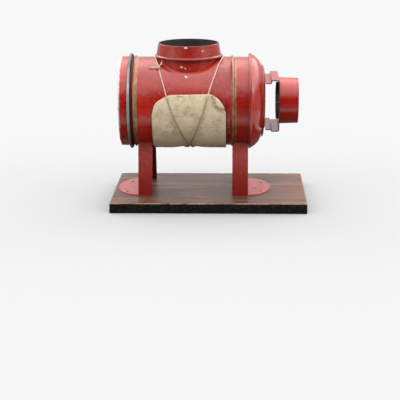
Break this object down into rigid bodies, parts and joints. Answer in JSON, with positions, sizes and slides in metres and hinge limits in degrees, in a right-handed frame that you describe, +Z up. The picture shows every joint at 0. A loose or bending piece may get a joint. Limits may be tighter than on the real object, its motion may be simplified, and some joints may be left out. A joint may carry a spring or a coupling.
{
  "type": "magic lantern",
  "caption": "Toy magic lantern: red tin lamp house on two folded stands and a wooden board, with slide stage, focusing lens and oil lamp; a card is tied to its side.",
  "frame": {"origin": "middle of the baseboard's underside", "axes": "+X along the optical axis towards the lens, +Y to the far side of the lantern (the tied card is on the -Y side), +Z up"},
  "size_m": [0.2, 0.125, 0.1639],
  "materials": {
    "board_wood": "dark stained softwood, worn along the upper front edge",
    "red_enamel": "glossy red lacquer on tin, chipped",
    "stand_enamel": "darker red lacquer on tin, semi-gloss",
    "soot_black": "soot-blackened tin, matt",
    "bare_tin": "bare tin plate, dull grey",
    "wire": "iron wire",
    "nail_iron": "dark iron",
    "brass": "aged brass",
    "lens_glass": "clear glass with a faint green tint",
    "cell_black": "blackened tin, satin",
    "chimney_glass": "clear lamp glass",
    "wick_cotton": "woven cotton wick",
    "card": "aged beige card, stained, matt",
    "twine": "twisted pale twine"
  },
  "bodies": {
    "lantern": {"baseboard": "board_wood", "rear_stand": "stand_enamel", "front_stand": "stand_enamel", "stand_nails": "nail_iron", "body_shell": "red_enamel", "chimney_sleeve": "soot_black", "chimney_collar": "red_enamel", "collar_rim_wire": "wire", "lamp_tray": "bare_tin", "lamp_font": "brass", "lamp_burner": "brass", "wick_tube": "brass", "lamp_gallery": "brass", "lamp_glass": "chimney_glass", "side_card": "card", "tie_string": "twine", "tie_knot": "twine"},
    "rear_lid": {"rear_cap": "red_enamel", "rear_cap_disc": "red_enamel", "rear_cap_sleeve": "bare_tin", "reflector": "bare_tin", "reflector_rivet": "bare_tin"},
    "front_cap": {"front_barrel": "red_enamel", "front_dome": "red_enamel", "dome_disc": "red_enamel", "condenser_cell": "bare_tin", "condenser_lens": "lens_glass", "condenser_ring": "wire", "slide_stage": "red_enamel", "lens_jacket": "red_enamel", "rear_lens_cell": "cell_black", "rear_lens": "lens_glass", "rear_lens_ring": "wire"},
    "focus_tube": {"draw_tube": "red_enamel", "front_lens": "lens_glass", "front_lens_ring": "wire"},
    "wick_drive": {"wick_wheel": "brass", "wick_spindle": "brass", "wick_knob": "brass"},
    "wick": {"lamp_wick": "wick_cotton"}
  },
  "joints": [
    {"name": "rear_lid_slide", "type": "slide", "parent": "lantern", "child": "rear_lid", "axis": [-1, 0, 0], "range_m": [0, 0.014]},
    {"name": "front_cap_slide", "type": "slide", "parent": "lantern", "child": "front_cap", "axis": [1, 0, 0], "range_m": [0, 0.014]},
    {"name": "focus_slide", "type": "slide", "parent": "front_cap", "child": "focus_tube", "axis": [1, 0, 0], "range_m": [0, 0.012]},
    {"name": "wick_knob_turn", "type": "hinge", "parent": "lantern", "child": "wick_drive", "pos_m": [-0.0211, -0.00035, 0.0902], "axis": [1, 0, 0], "range_deg": [-60, 180]},
    {"name": "wick_raise", "type": "slide", "parent": "lantern", "child": "wick", "axis": [0, 0, 1], "range_m": [-0.0025, 0.0075]}
  ],
  "couplings": [
    {"joint": "wick_knob_turn", "follows": "wick_raise", "rad_per_m": 408.16}
  ]
}
